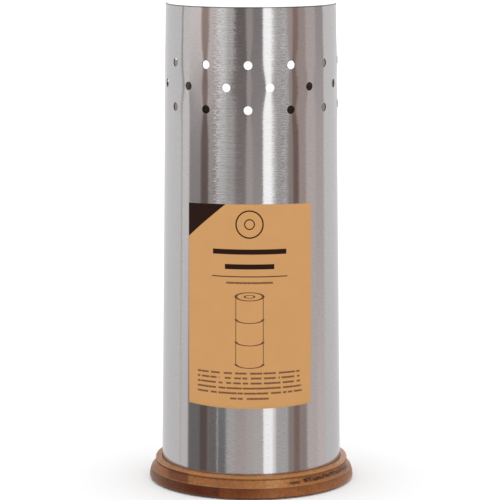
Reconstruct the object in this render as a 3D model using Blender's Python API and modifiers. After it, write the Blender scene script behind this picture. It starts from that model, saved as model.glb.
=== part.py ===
"""Free-standing toilet roll holder: a rolled stainless steel tube on a turned bamboo base.

Metres, +Z up. The origin is on the floor, on the tube's axis. The plain wall with the paper label
faces -Y. The front, with the V-shaped mouth and the finger slot under it, faces +Y.
"""

import math

import bmesh
import bpy
from mathutils import Matrix, Vector

MM = 0.001

# Driving dimensions
FIT_GAP = 0.3 * MM  # between pieces that seat on each other
OVERRUN = 8.0 * MM  # how far every cutter passes the wall that it cuts

TUBE_HEIGHT = 332.5 * MM  # sheet from its lower edge, in the groove, to the rim
TUBE_BOTTOM_RADIUS = 65.0 * MM
TUBE_TOP_RADIUS = 61.0 * MM
SHEET = 0.8 * MM

SLOT_BOTTOM_WIDTH = 27.4 * MM  # measured round the wall
SLOT_TOP_WIDTH = 42.6 * MM
MOUTH_DEPTH = 97.0 * MM  # from the rim down to where the flare runs out into the slot
MOUTH_RIM_ANGLE = math.radians(180.0)  # the mouth takes away half of the rim
MOUTH_FLARE_POWER = 1.85
MOUTH_TIP_ROUND = 8.0 * MM  # corner between the rim and the mouth's edge

HOLE_DIAMETER = 6.0 * MM
HOLE_PITCH = 30.9 * MM  # round the wall
HOLE_MARGIN = 19.0 * MM  # from the mouth's edge to the nearest hole's centre, at least
HOLE_ROWS = 3
ROW_SPACING = 15.6 * MM
TOP_ROW_DROP = 40.2 * MM  # from the rim

STRIP_HEIGHT = 44.0 * MM  # above the base
STRIP_LAP = 10.0 * MM  # behind each edge of the slot

BASE_THICKNESS = 14.6 * MM
LEDGE_WIDTH = 4.8 * MM  # flat top of the base, outside the tube
LEDGE_ROUND = 0.6 * MM
QUIRK_DEPTH = 2.7 * MM  # small upright step under the ledge
COVE_WIDTH = 3.1 * MM  # from the step out to the outer wall's upper corner
COVE_DEPTH = 7.7 * MM  # from the ledge down to that corner
COVE_HOLLOW = 0.5 * MM
WALL_SPREAD = 1.4 * MM  # how far the outer wall's foot stands out from its upper corner
WALL_BOW = 0.3 * MM
FOOT_ROUND = 0.8 * MM
GROOVE_DEPTH = 3.0 * MM

BRACKET_THICKNESS = 1.2 * MM
BRACKET_WIDTH = 15.0 * MM
BRACKET_LEG = 17.0 * MM
BRACKET_FOOT = 14.5 * MM
BRACKET_BEND = 2.0 * MM  # outside radius
BRACKET_HOLE_DIAMETER = 4.2 * MM
BRACKET_TURNS = {"back": 0.0, "right": math.radians(120.0), "left": math.radians(-120.0)}

SCREW_COVER = 4.1 * MM  # bamboo left under a screw's point
SCREW_SHANK_DIAMETER = 3.4 * MM
SCREW_POINT = 3.0 * MM
SCREW_HEAD_DIAMETER = 7.0 * MM
SCREW_HEAD_HEIGHT = 2.2 * MM
SCREW_HEAD_EDGE = 0.7 * MM

PAD_DIAMETER = 12.0 * MM
PAD_THICKNESS = 2.0 * MM
PAD_EDGE = 0.4 * MM
PAD_RECESS = 0.8 * MM
PAD_INSET = 18.3 * MM  # from the base's outer edge to a pad's centre
PAD_COUNT = 4

LABEL_WIDTH = 94.0 * MM  # round the wall
LABEL_HEIGHT = 145.1 * MM
LABEL_LIFT = 47.9 * MM  # from the base up to its lower edge
LABEL_TURN = math.radians(1.0)
LABEL_PAPER = 0.3 * MM

ROUND_STEPS = 96
HOLE_STEPS = 16
SMALL_STEPS = 24
MERGE_DISTANCE = 0.01 * MM

# Side to which a sheet gets its thickness, where its faces point away from the tube's axis
INWARDS = -1.0
OUTWARDS = 1.0
BOTH_WAYS = 0.0

# Levels and places that follow from them
LEDGE_RADIUS = TUBE_BOTTOM_RADIUS + LEDGE_WIDTH
COVE_RADIUS = LEDGE_RADIUS + COVE_WIDTH
WALL_FOOT_RADIUS = COVE_RADIUS + WALL_SPREAD
PAD_CIRCLE_RADIUS = WALL_FOOT_RADIUS - PAD_INSET
BASE_BOTTOM = PAD_THICKNESS + FIT_GAP - PAD_RECESS
BASE_TOP = BASE_BOTTOM + BASE_THICKNESS
TUBE_BOTTOM = BASE_TOP - GROOVE_DEPTH + FIT_GAP
RIM = TUBE_BOTTOM + TUBE_HEIGHT
MOUTH_FOOT = RIM - MOUTH_DEPTH


def tube_radius(height):
    """Outside radius of the tapered tube at a height above the floor."""
    share = (height - TUBE_BOTTOM) / TUBE_HEIGHT
    return TUBE_BOTTOM_RADIUS + (TUBE_TOP_RADIUS - TUBE_BOTTOM_RADIUS) * share


def opening_half_width(height):
    """Half of the front opening, measured round the wall, at a height above the floor."""
    height = min(max(height, TUBE_BOTTOM), RIM)
    drop = RIM - height
    if drop < tip_drop():
        return tip_centre() - math.sqrt(drop * (2 * MOUTH_TIP_ROUND - drop))
    slot_share = min((height - TUBE_BOTTOM) / (MOUTH_FOOT - TUBE_BOTTOM), 1.0)
    slot = SLOT_BOTTOM_WIDTH + (SLOT_TOP_WIDTH - SLOT_BOTTOM_WIDTH) * slot_share
    flare_share = max((height - MOUTH_FOOT) / MOUTH_DEPTH, 0.0)
    return (slot + mouth_flare() * flare_share**MOUTH_FLARE_POWER) / 2


def mouth_flare():
    """How much wider the mouth is at the rim than the slot under it, measured round the wall."""
    return TUBE_TOP_RADIUS * MOUTH_RIM_ANGLE - SLOT_TOP_WIDTH


def tip_slope():
    """Angle below the level at which the mouth's edge leaves the rim."""
    return math.atan2(MOUTH_DEPTH, mouth_flare() / 2 * MOUTH_FLARE_POWER)


def tip_drop():
    """How far below the rim the rounding of the mouth's corner begins."""
    return MOUTH_TIP_ROUND * (1 - math.cos(tip_slope()))


def tip_centre():
    """Place round the wall of the centre of that rounding, from the middle of the front."""
    rim_half_width = (SLOT_TOP_WIDTH + mouth_flare()) / 2
    return rim_half_width + MOUTH_TIP_ROUND * math.tan(tip_slope() / 2)


def clear_scene():
    for old in list(bpy.data.objects):
        bpy.data.objects.remove(old, do_unlink=True)


def make_collection(name):
    collection = bpy.data.collections.new(name)
    bpy.context.scene.collection.children.link(collection)
    return collection


def make_material(name, colour, roughness, metallic=0.0):
    material = bpy.data.materials.new(name)
    material.use_nodes = True
    shader = material.node_tree.nodes["Principled BSDF"]
    shader.inputs["Base Color"].default_value = (*colour, 1.0)
    shader.inputs["Roughness"].default_value = roughness
    shader.inputs["Metallic"].default_value = metallic
    material.diffuse_color = (*colour, 1.0)
    return material


def add_part(name, mesh, material):
    part = bpy.data.objects.new(name, mesh)
    parts.objects.link(part)
    mesh.materials.append(material)
    return part


def add_cutter(name, mesh):
    cutter = bpy.data.objects.new(name, mesh)
    cutters.objects.link(cutter)
    cutter.hide_render = True
    cutter.display_type = "WIRE"
    return cutter


def mesh_from(name, edit):
    mesh = bpy.data.meshes.new(name)
    edit.to_mesh(mesh)
    edit.free()
    return mesh


def profile_mesh(name, points):
    """A line of edges through (radius, height) points, ready to be turned about Z."""
    edit = bmesh.new()
    line = [edit.verts.new((radius, 0.0, height)) for radius, height in points]
    for start, end in zip(line, line[1:]):
        edit.edges.new((start, end))
    return mesh_from(name, edit)


def turn(part, steps, angle=2 * math.pi):
    whole = angle == 2 * math.pi
    lathe = part.modifiers.new("turn", "SCREW")
    lathe.angle = angle
    lathe.steps = steps
    lathe.render_steps = steps
    lathe.use_merge_vertices = whole
    lathe.merge_threshold = MERGE_DISTANCE
    lathe.use_smooth_shade = True


def thicken(part, thickness, side):
    wall = part.modifiers.new("wall", "SOLIDIFY")
    wall.thickness = thickness
    wall.offset = side
    wall.use_even_offset = True


def cut(part, cutter):
    saw = part.modifiers.new(cutter.name, "BOOLEAN")
    saw.operation = "DIFFERENCE"
    saw.solver = "EXACT"
    saw.object = cutter


def upright_cylinders(name, places, radius, low, high, steps):
    """One mesh of upright cylinders from height low to height high, at (x, y) places."""
    edit = bmesh.new()
    for x, y in places:
        bmesh.ops.create_cone(
            edit,
            cap_ends=True,
            segments=steps,
            radius1=radius,
            radius2=radius,
            depth=high - low,
            matrix=Matrix.Translation((x, y, (low + high) / 2)),
        )
    return mesh_from(name, edit)


def arc(centre, radius, start, end, steps):
    """Points on an arc about (radius, height) centre, from angle start to angle end in degrees."""
    points = []
    for step in range(steps + 1):
        angle = math.radians(start + (end - start) * step / steps)
        points.append((centre[0] + radius * math.cos(angle), centre[1] + radius * math.sin(angle)))
    return points


def bowed(start, end, bow, steps):
    """Points after start, up to end, on a shallow curve that bows out by bow at its middle."""
    start, end = Vector(start), Vector(end)
    along = end - start
    outwards = Vector((-along.y, along.x)).normalized()
    points = []
    for step in range(1, steps + 1):
        share = step / steps
        points.append(tuple(start + along * share + outwards * bow * 4 * share * (1 - share)))
    return points


def wall_grid(name, columns, heights, angle_at, radius_at):
    """An open sheet on the cone. angle_at(side, height) is the angle from +Y, with side from -1 to 1."""
    edit = bmesh.new()
    bmesh.ops.create_grid(edit, x_segments=columns, y_segments=len(heights) - 1, size=1.0)
    for vert in edit.verts:
        side = vert.co.x
        height = heights[round((vert.co.y + 1) / 2 * (len(heights) - 1))]
        angle = angle_at(side, height)
        radius = radius_at(height)
        vert.co = (radius * math.sin(angle), radius * math.cos(angle), height)
    return mesh_from(name, edit)


def build_base():
    """Turned bamboo disc with a stepped and coved edge, and a groove that takes the tube."""
    groove_outside = TUBE_BOTTOM_RADIUS + FIT_GAP
    groove_inside = TUBE_BOTTOM_RADIUS - SHEET - FIT_GAP
    groove_floor = BASE_TOP - GROOVE_DEPTH
    quirk_foot = (LEDGE_RADIUS, BASE_TOP - QUIRK_DEPTH)
    cove_foot = (COVE_RADIUS, BASE_TOP - COVE_DEPTH)
    wall_foot = (WALL_FOOT_RADIUS, BASE_BOTTOM + FOOT_ROUND)
    ledge_centre = (LEDGE_RADIUS - LEDGE_ROUND, BASE_TOP - LEDGE_ROUND)
    foot_centre = (WALL_FOOT_RADIUS - FOOT_ROUND, BASE_BOTTOM + FOOT_ROUND)
    points = [
        (0.0, BASE_TOP),
        (groove_inside, BASE_TOP),
        (groove_inside, groove_floor),
        (groove_outside, groove_floor),
        (groove_outside, BASE_TOP),
    ]
    points += arc(ledge_centre, LEDGE_ROUND, 90, 0, 3)
    points.append(quirk_foot)
    points += bowed(quirk_foot, cove_foot, -COVE_HOLLOW, 5)
    points += bowed(cove_foot, wall_foot, WALL_BOW, 4)
    points += arc(foot_centre, FOOT_ROUND, 0, -90, 3)[1:]
    points.append((0.0, BASE_BOTTOM))
    base = add_part("bamboo_base", profile_mesh("bamboo_base", points), bamboo)
    turn(base, ROUND_STEPS)
    recesses = upright_cylinders(
        "pad_recesses",
        pad_places(),
        PAD_DIAMETER / 2 + FIT_GAP,
        BASE_BOTTOM - OVERRUN,
        BASE_BOTTOM + PAD_RECESS,
        SMALL_STEPS,
    )
    cut(base, add_cutter("pad_recesses", recesses))
    pilots = upright_cylinders(
        "screw_pilots",
        [screw_place(turned) for turned in BRACKET_TURNS.values()],
        SCREW_SHANK_DIAMETER / 2 + FIT_GAP,
        BASE_BOTTOM + SCREW_COVER,
        BASE_TOP + OVERRUN,
        HOLE_STEPS,
    )
    cut(base, add_cutter("screw_pilots", pilots))


def pad_places():
    """Centres of the pads, on the diagonals."""
    places = []
    for number in range(PAD_COUNT):
        angle = 2 * math.pi * (number + 0.5) / PAD_COUNT
        places.append((PAD_CIRCLE_RADIUS * math.cos(angle), PAD_CIRCLE_RADIUS * math.sin(angle)))
    return places


def build_pads():
    """Round anti-slip pads, glued in shallow recesses under the base."""
    for number, (x, y) in enumerate(pad_places(), start=1):
        name = f"anti_slip_pad_{number}"
        mesh = upright_cylinders(
            name, [(0.0, 0.0)], PAD_DIAMETER / 2, 0.0, PAD_THICKNESS, SMALL_STEPS
        )
        pad = add_part(name, mesh, rubber)
        pad.location = (x, y, 0.0)
        edge = pad.modifiers.new("edge", "BEVEL")
        edge.width = PAD_EDGE
        edge.segments = 2
        edge.limit_method = "ANGLE"


def build_tube():
    """Tapered sheet tube, open down the front, with three staggered rows of holes round the back."""
    edit = bmesh.new()
    bmesh.ops.create_cone(
        edit,
        cap_ends=False,
        segments=ROUND_STEPS,
        radius1=TUBE_BOTTOM_RADIUS,
        radius2=TUBE_TOP_RADIUS,
        depth=TUBE_HEIGHT,
        matrix=Matrix.Translation((0.0, 0.0, TUBE_BOTTOM + TUBE_HEIGHT / 2)),
    )
    tube = add_part("steel_tube", mesh_from("steel_tube", edit), steel)
    tube.data.shade_smooth()
    thicken(tube, SHEET, INWARDS)
    cut(tube, opening_cutter())
    cut(tube, hole_cutter())


def opening_cutter():
    """The front opening's outline, bent round the wall and thick enough to pass through it."""
    flare_steps = 14
    tip_steps = 5
    heights = [TUBE_BOTTOM - OVERRUN, TUBE_BOTTOM]
    for step in range(flare_steps + 1):
        heights.append(MOUTH_FOOT + (MOUTH_DEPTH - tip_drop()) * step / flare_steps)
    for step in range(1, tip_steps + 1):
        heights.append(RIM - tip_drop() * (1 - step / tip_steps) ** 2)
    heights.append(RIM + OVERRUN)
    mesh = wall_grid(
        "front_opening",
        24,
        heights,
        lambda side, height: side * opening_half_width(height) / tube_radius(height),
        tube_radius,
    )
    cutter = add_cutter("front_opening", mesh)
    thicken(cutter, 2 * OVERRUN, BOTH_WAYS)
    return cutter


def holes_in_row(row, height):
    """How many holes fit on the wall, where every other row is set half a pitch aside."""
    to_one_side = math.pi * tube_radius(height) - opening_half_width(height) - HOLE_MARGIN
    if row % 2 == 0:
        return 2 * math.floor(to_one_side / HOLE_PITCH) + 1
    return 2 * math.floor(to_one_side / HOLE_PITCH + 1 / 2)


def hole_cutter():
    """Staggered rows of round holes, square to the wall and centred on the back."""
    edit = bmesh.new()
    for row in range(HOLE_ROWS):
        height = RIM - TOP_ROW_DROP - row * ROW_SPACING
        radius = tube_radius(height)
        count = holes_in_row(row, height)
        for number in range(count):
            turned = (number - (count - 1) / 2) * HOLE_PITCH / radius
            place = Matrix.Rotation(turned, 4, "Z") @ Matrix.Translation((0.0, -radius, height))
            bmesh.ops.create_cone(
                edit,
                cap_ends=True,
                segments=HOLE_STEPS,
                radius1=HOLE_DIAMETER / 2,
                radius2=HOLE_DIAMETER / 2,
                depth=2 * OVERRUN,
                matrix=place @ Matrix.Rotation(math.pi / 2, 4, "X"),
            )
    return add_cutter("vent_holes", mesh_from("vent_holes", edit))


def build_strip():
    """Curved strip behind the foot of the slot, which joins the sheet's two edges."""
    low = BASE_TOP + FIT_GAP
    high = BASE_TOP + STRIP_HEIGHT
    half_width = opening_half_width(high) + STRIP_LAP
    mesh = wall_grid(
        "slot_joining_strip",
        14,
        [low, high],
        lambda side, height: -side * half_width / inside_radius(height),
        inside_radius,
    )
    strip = add_part("slot_joining_strip", mesh, steel)
    strip.data.shade_smooth()
    thicken(strip, SHEET, INWARDS)


def inside_radius(height):
    """Radius of what lies against the inside of the tube."""
    return tube_radius(height) - SHEET - FIT_GAP


def bracket_top():
    """Height of the upper face of a bracket's foot."""
    return BASE_TOP + FIT_GAP + BRACKET_THICKNESS


def bracket_back_radius():
    """Radius of a bracket's upright face, against the wall at its upper end."""
    return inside_radius(BASE_TOP + FIT_GAP + BRACKET_LEG)


def screw_radius():
    """Distance of a bracket's screw from the tube's axis."""
    return bracket_back_radius() - (BRACKET_FOOT + BRACKET_THICKNESS) / 2


def screw_place(turned):
    return (screw_radius() * math.sin(turned), -screw_radius() * math.cos(turned))


def build_brackets():
    """Curved L brackets, welded to the wall at their upright legs and screwed to the base."""
    back = bracket_back_radius()
    low = BASE_TOP + FIT_GAP
    bend_centre = (back - BRACKET_BEND, low + BRACKET_BEND)
    points = [(back, low + BRACKET_LEG)]
    points += arc(bend_centre, BRACKET_BEND, 0, -90, 4)
    points.append((back - BRACKET_FOOT, low))
    sweep = BRACKET_WIDTH / back
    for side, turned in BRACKET_TURNS.items():
        bracket = add_part(
            f"fixing_bracket_{side}", profile_mesh(f"fixing_bracket_{side}", points), zinc
        )
        turn(bracket, 6, sweep)
        bracket.rotation_euler.z = turned - math.pi / 2 - sweep / 2
        thicken(bracket, BRACKET_THICKNESS, INWARDS)
        hole = upright_cylinders(
            f"bracket_hole_{side}",
            [screw_place(turned)],
            BRACKET_HOLE_DIAMETER / 2,
            low - OVERRUN,
            low + OVERRUN,
            HOLE_STEPS,
        )
        cut(bracket, add_cutter(f"bracket_hole_{side}", hole))


def build_screws():
    """Pan-head wood screws that hold the brackets down on the base."""
    head = SCREW_HEAD_DIAMETER / 2
    shank = SCREW_SHANK_DIAMETER / 2
    crown = SCREW_HEAD_HEIGHT - SCREW_HEAD_EDGE
    length = bracket_top() - BASE_BOTTOM - SCREW_COVER
    points = []
    for step in range(5):
        angle = math.pi / 2 * step / 4
        points.append((head * math.sin(angle), SCREW_HEAD_EDGE + crown * math.cos(angle)))
    points += [
        (head, 0.0),
        (shank, 0.0),
        (shank, SCREW_POINT - length),
        (0.0, -length),
    ]
    for side, turned in BRACKET_TURNS.items():
        name = f"bracket_screw_{side}"
        screw = add_part(name, profile_mesh(name, points), zinc)
        screw.location = (*screw_place(turned), bracket_top() + FIT_GAP)
        turn(screw, SMALL_STEPS)


def build_label():
    """Paper label wrapped round the plain back wall."""
    low = BASE_TOP + LABEL_LIFT

    def face_radius(height):
        return tube_radius(height) + FIT_GAP

    mesh = wall_grid(
        "paper_label",
        28,
        [low, low + LABEL_HEIGHT],
        lambda side, height: math.pi - LABEL_TURN - side * LABEL_WIDTH / 2 / face_radius(height),
        face_radius,
    )
    label = add_part("paper_label", mesh, kraft)
    label.data.shade_smooth()
    thicken(label, LABEL_PAPER, OUTWARDS)


clear_scene()
parts = make_collection("toilet_roll_holder")
cutters = make_collection("cutters")
steel = make_material("brushed_steel", (0.62, 0.60, 0.59), 0.28, 1.0)
zinc = make_material("zinc_plated", (0.66, 0.67, 0.68), 0.35, 1.0)
bamboo = make_material("bamboo", (0.42, 0.22, 0.10), 0.45)
rubber = make_material("rubber", (0.05, 0.05, 0.05), 0.8)
kraft = make_material("kraft_paper", (0.60, 0.33, 0.14), 0.75)
build_base()
build_pads()
build_tube()
build_strip()
build_brackets()
build_screws()
build_label()
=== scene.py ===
import math

import bmesh
import bpy
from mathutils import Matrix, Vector


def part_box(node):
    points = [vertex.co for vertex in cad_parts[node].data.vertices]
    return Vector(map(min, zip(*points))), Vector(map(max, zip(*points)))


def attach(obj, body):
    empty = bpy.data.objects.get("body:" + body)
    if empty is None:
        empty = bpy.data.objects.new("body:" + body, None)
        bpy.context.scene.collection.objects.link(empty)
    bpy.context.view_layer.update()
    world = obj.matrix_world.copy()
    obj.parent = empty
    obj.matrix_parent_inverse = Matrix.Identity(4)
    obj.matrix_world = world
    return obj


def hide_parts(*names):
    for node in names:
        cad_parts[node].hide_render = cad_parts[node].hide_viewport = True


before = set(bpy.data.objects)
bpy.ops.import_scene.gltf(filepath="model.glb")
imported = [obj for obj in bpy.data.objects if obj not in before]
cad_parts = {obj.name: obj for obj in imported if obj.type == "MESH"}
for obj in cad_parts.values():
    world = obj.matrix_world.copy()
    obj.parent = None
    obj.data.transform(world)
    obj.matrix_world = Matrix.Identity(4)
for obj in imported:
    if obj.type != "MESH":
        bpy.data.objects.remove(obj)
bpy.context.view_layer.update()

MM = 0.001

# Camera. It looks at the holder's whole back wall from a little above, as the photograph does, with a
# long lens 1.8 m away. The turn is the small angle between the line of sight and the middle of the wall.
CAMERA_DISTANCE = 1780.4 * MM  # from the tube's axis
CAMERA_HEIGHT = 442.0 * MM
CAMERA_TURN = math.radians(2.09)
CAMERA_PITCH = math.radians(8.77)
CAMERA_AIM = math.radians(0.029)
PHOTO_SIDE = 500.0  # pixels
FOCAL_LENGTH = 2488.8  # pixels
SENSOR = 36.0  # mm, as the camera's settings count it


def round_axis(radius, turn, height):
    """A place at a radius from the tube's axis, turned from the middle of the back wall."""
    return (radius * math.sin(turn), -radius * math.cos(turn), height)


lens = bpy.data.cameras.new("camera")
lens.sensor_width = SENSOR
lens.lens = SENSOR * FOCAL_LENGTH / PHOTO_SIDE
lens.clip_end = 100.0
camera = bpy.data.objects.new("camera", lens)
bpy.context.scene.collection.objects.link(camera)
camera.location = round_axis(CAMERA_DISTANCE, CAMERA_TURN, CAMERA_HEIGHT)
camera.rotation_euler = (math.pi / 2 - CAMERA_PITCH, 0.0, CAMERA_TURN + CAMERA_AIM)
bpy.context.scene.camera = camera


# Bamboo base. A round disc glued up from wide bamboo boards in layers, turned on a lathe and lacquered.
# Its edge has a flat ledge, a small upright step, a hollow slope and a slightly bulging wall, and a
# groove in its top takes the tube. Pads sit in shallow recesses underneath.
BASE_STEPS = 192
LEDGE_ROUND = 0.6 * MM
LEDGE_NOSE = 1.3 * MM  # the ledge's edge is rubbed rounder than it is deep
LEDGE_WIDTH = 4.8 * MM
QUIRK_DEPTH = 2.7 * MM
UNDERCUT = 0.35 * MM  # the step's foot is scraped in a little under the ledge
COVE_WIDTH = 3.1 * MM
COVE_DEPTH = 7.7 * MM
COVE_HOLLOW = 0.5 * MM
LIP_ROUND = 0.35 * MM  # rubbed corner between the hollow slope and the wall
WALL_BOW = 0.3 * MM
FOOT_ROUND = 0.8 * MM
GROOVE_DEPTH = 3.0 * MM
GROOVE_ROUND = 0.15 * MM
BASE_CREASE = 28.0  # degrees. Faces that meet at less than this are shaded as one.
TUBE_FOOT_RADIUS = 65.0 * MM
SHEET = 0.8 * MM
FIT_GAP = 0.3 * MM
OVERRUN = 2.0 * MM

base_low, base_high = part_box("bamboo_base")
base_bottom = base_low.z
base_top = base_high.z
foot_radius = base_high.x


def pick_nothing():
    bpy.ops.object.select_all(action="DESELECT")


def work_on(piece):
    """Makes a piece the only one that is picked."""
    pick_nothing()
    piece.select_set(True)
    bpy.context.view_layer.objects.active = piece


def named(name):
    """Names the piece that was just added."""
    piece = bpy.context.object
    piece.name = name
    piece.data.name = name
    return piece


def settle():
    """Leaves the active piece's object at the origin, unturned and unscaled."""
    bpy.ops.object.transform_apply(location=True, rotation=True, scale=True)


def open_edit(kind="VERT"):
    """Opens the active piece for editing by its points or faces."""
    bpy.ops.object.mode_set(mode="EDIT")
    bpy.ops.mesh.select_mode(type=kind)


def pick_all(action="SELECT"):
    """Selects all of the piece in edit mode, or none of it."""
    bpy.ops.mesh.select_all(action=action)


def resize(scale, centre):
    """Scales what is selected about a centre."""
    bpy.ops.transform.resize(value=scale, center_override=centre)


def draw_out(move):
    """Draws new edges out of the selected ones."""
    bpy.ops.mesh.extrude_edges_move(TRANSFORM_OT_translate={"value": move})


def close_edit():
    """Turns all faces of the piece in edit mode outward and closes it."""
    pick_all()
    bpy.ops.mesh.normals_make_consistent(inside=False)
    bpy.ops.object.mode_set(mode="OBJECT")


def work_with(piece, kind, **settings):
    """Adds one modifier to a piece and applies it."""
    work_on(piece)
    tool = piece.modifiers.new(kind.lower(), kind)
    for setting, value in settings.items():
        setattr(tool, setting, value)
    bpy.ops.object.modifier_apply(modifier=tool.name)


def saw_out(piece, blade, operation="DIFFERENCE"):
    """Cuts one shape out of a piece, and takes the shape away."""
    work_with(piece, "BOOLEAN", object=blade, operation=operation, solver="EXACT")
    bpy.data.objects.remove(blade, do_unlink=True)


def drill(piece, place, radius, low, high, steps=32):
    """Cuts an upright round hole in a piece at a place, from one height to another."""
    middle = (*place[:2], (low + high) / 2)
    pick_nothing()
    bpy.ops.mesh.primitive_cylinder_add(vertices=steps, radius=radius, depth=high - low, location=middle)
    saw_out(piece, bpy.context.object)


def turned(name, steps, profile):
    """A round piece as on a lathe: a disc at the profile's first point, drawn out ring by ring."""
    pick_nothing()
    radius, height = profile[0]
    bpy.ops.mesh.primitive_circle_add(vertices=steps, radius=radius, fill_type="NGON")
    piece = named(name)
    open_edit()
    pick_all()
    bpy.ops.transform.translate(value=(0.0, 0.0, height))
    for next_radius, next_height in profile[1:]:
        rise = (0.0, 0.0, next_height - height)
        move = {"value": rise, "orient_type": "GLOBAL"}
        bpy.ops.mesh.extrude_region_move(TRANSFORM_OT_translate=move)
        grow = next_radius / radius
        resize((grow, grow, 1.0), (0.0, 0.0, next_height))
        radius, height = next_radius, next_height
    close_edit()
    return piece


def rounding(centre, radius, start, end, steps):
    """Points round a corner of a profile, between two angles in degrees."""
    points = []
    for step in range(steps + 1):
        angle = math.radians(start + (end - start) * step / steps)
        points.append((centre[0] + radius * math.cos(angle), centre[1] + radius * math.sin(angle)))
    return points


def bowed(start, end, bow, steps):
    """Points between two profile points, on a curve that bows to the right of its way by bow."""
    start, end = Vector(start), Vector(end)
    along = end - start
    aside = Vector((along.y, -along.x)).normalized()
    points = []
    for step in range(1, steps):
        share = step / steps
        points.append(tuple(start + along * share + aside * bow * 4 * share * (1 - share)))
    return points


def smooth(piece, angle=35.0):
    work_on(piece)
    bpy.ops.object.shade_smooth_by_angle(angle=math.radians(angle))


def place_at(piece, place=(0.0, 0.0, 0.0), turn=0.0):
    """Moves and turns a piece, and leaves its object at the origin."""
    work_on(piece)
    piece.location = place
    piece.rotation_euler.z = turn
    settle()


def turned_copy(piece, name, turn):
    """A copy of a piece with a mesh of its own, turned round the tube's axis."""
    work_on(piece)
    bpy.ops.object.duplicate()
    copied = named(name)
    place_at(copied, turn=turn)
    return copied


ledge_radius = TUBE_FOOT_RADIUS + LEDGE_WIDTH
cove_radius = ledge_radius + COVE_WIDTH
step_radius = ledge_radius - UNDERCUT
cove_foot = base_top - COVE_DEPTH
step_foot = base_top - QUIRK_DEPTH
groove_outside = TUBE_FOOT_RADIUS + FIT_GAP
groove_inside = TUBE_FOOT_RADIUS - SHEET - FIT_GAP
groove_floor = base_top - GROOVE_DEPTH
groove_brink = base_top - GROOVE_ROUND
wall_foot = (foot_radius, base_bottom + FOOT_ROUND)
lip_below = (cove_radius + LIP_ROUND * 0.2, cove_foot - LIP_ROUND)
lip_edge = (cove_radius - LIP_ROUND * 0.1, cove_foot + LIP_ROUND * 0.1)
lip_above = (cove_radius - LIP_ROUND * 0.5, cove_foot + LIP_ROUND * 0.9)
cove_head = (ledge_radius + 0.1 * MM, step_foot - 0.15 * MM)
profile = rounding((foot_radius - FOOT_ROUND, base_bottom + FOOT_ROUND), FOOT_ROUND, -90, 0, 6)
profile += bowed(wall_foot, lip_below, WALL_BOW, 10)
profile += [lip_below, lip_edge, lip_above]
profile += bowed(lip_above, cove_head, -COVE_HOLLOW, 10)
profile += [cove_head, (step_radius, step_foot), (step_radius, base_top - QUIRK_DEPTH * 0.85)]
for out, up in rounding((0.0, 0.0), 1.0, -10, 90, 8):
    profile.append((ledge_radius + LEDGE_ROUND * (out - 1), base_top + LEDGE_NOSE * (up - 1)))
profile += rounding((groove_outside + GROOVE_ROUND, groove_brink), GROOVE_ROUND, 90, 180, 3)
profile += [(groove_outside, groove_floor), (groove_inside, groove_floor)]
profile += rounding((groove_inside - GROOVE_ROUND, groove_brink), GROOVE_ROUND, 0, 90, 3)
base = turned("bamboo_disc", BASE_STEPS, profile)

PAD_CIRCLE = 56.0 * MM
PAD_RADIUS = 6.0 * MM
PAD_RECESS = 0.8 * MM
PAD_STEPS = 48
PAD_TURNS = {number: math.radians(90.0 * number - 45.0) for number in range(1, 5)}
recess_low = base_bottom - OVERRUN
recess_high = base_bottom + PAD_RECESS
for turn in PAD_TURNS.values():
    middle = (PAD_CIRCLE * math.cos(turn), PAD_CIRCLE * math.sin(turn))
    drill(base, middle, PAD_RADIUS + FIT_GAP, recess_low, recess_high, PAD_STEPS)
smooth(base, BASE_CREASE)


def plug(tree, socket, value):
    """Links a socket to another, or sets it to a plain value."""
    if isinstance(value, bpy.types.NodeSocket):
        tree.links.new(value, socket)
    else:
        socket.default_value = value


def node(tree, kind, sockets=None, **settings):
    """One node with its settings, and its sockets linked or set by name or number."""
    made = tree.nodes.new("ShaderNode" + kind)
    for setting, value in settings.items():
        setattr(made, setting, value)
    for socket, value in (sockets or {}).items():
        plug(tree, made.inputs[socket], value)
    return made


def sum_of(tree, operation, first, second=0.0, third=0.0):
    """One step of arithmetic on two values. MULTIPLY_ADD adds the third."""
    return node(tree, "Math", {0: first, 1: second, 2: third}, operation=operation).outputs[0]


def product(tree, first, *others):
    """Values multiplied together."""
    for other in others:
        first = sum_of(tree, "MULTIPLY", first, other)
    return first


def strongest(tree, first, *others):
    """The highest of several values, as for shapes that lie over each other."""
    for other in others:
        first = sum_of(tree, "MAXIMUM", first, other)
    return first


def length_of(tree, aside, above):
    """How long a way is that leads aside and above by these."""
    squares = sum_of(tree, "MULTIPLY_ADD", aside, aside, product(tree, above, above))
    return sum_of(tree, "SQRT", squares)


def scaled(tree, vector, share):
    """A colour or a direction multiplied by a value."""
    return node(tree, "VectorMath", {0: vector, 3: share}, operation="SCALE").outputs[0]


def blend_of(tree, share, first, second):
    """Two colours mixed by a share."""
    sockets = {0: share, 6: first, 7: second}
    return node(tree, "Mix", sockets, data_type="RGBA", clamp_factor=True).outputs[2]


def range_of(tree, value, low, high, to_low=0.0, to_high=1.0, kind="LINEAR"):
    """A value stretched from one range to another."""
    sockets = dict(enumerate((value, low, high, to_low, to_high)))
    return node(tree, "MapRange", sockets, interpolation_type=kind, clamp=True).outputs[0]


def gap_of(tree, value, centre):
    """How far a value is from a centre, on either side."""
    return sum_of(tree, "ABSOLUTE", sum_of(tree, "SUBTRACT", value, centre))


def near(tree, value, centre, half, soft):
    """1 where a value is near a centre, 0 farther away."""
    gap = gap_of(tree, value, centre)
    return range_of(tree, gap, half - soft / 2, half + soft / 2, 1.0, 0.0, "SMOOTHSTEP")


def noise(tree, place, scale, detail, roughness=0.5, **settings):
    """Cloudy noise at a place."""
    sockets = {"Vector": place, "Scale": scale, "Detail": detail, "Roughness": roughness}
    return node(tree, "TexNoise", sockets, **settings).outputs["Fac"]


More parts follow.
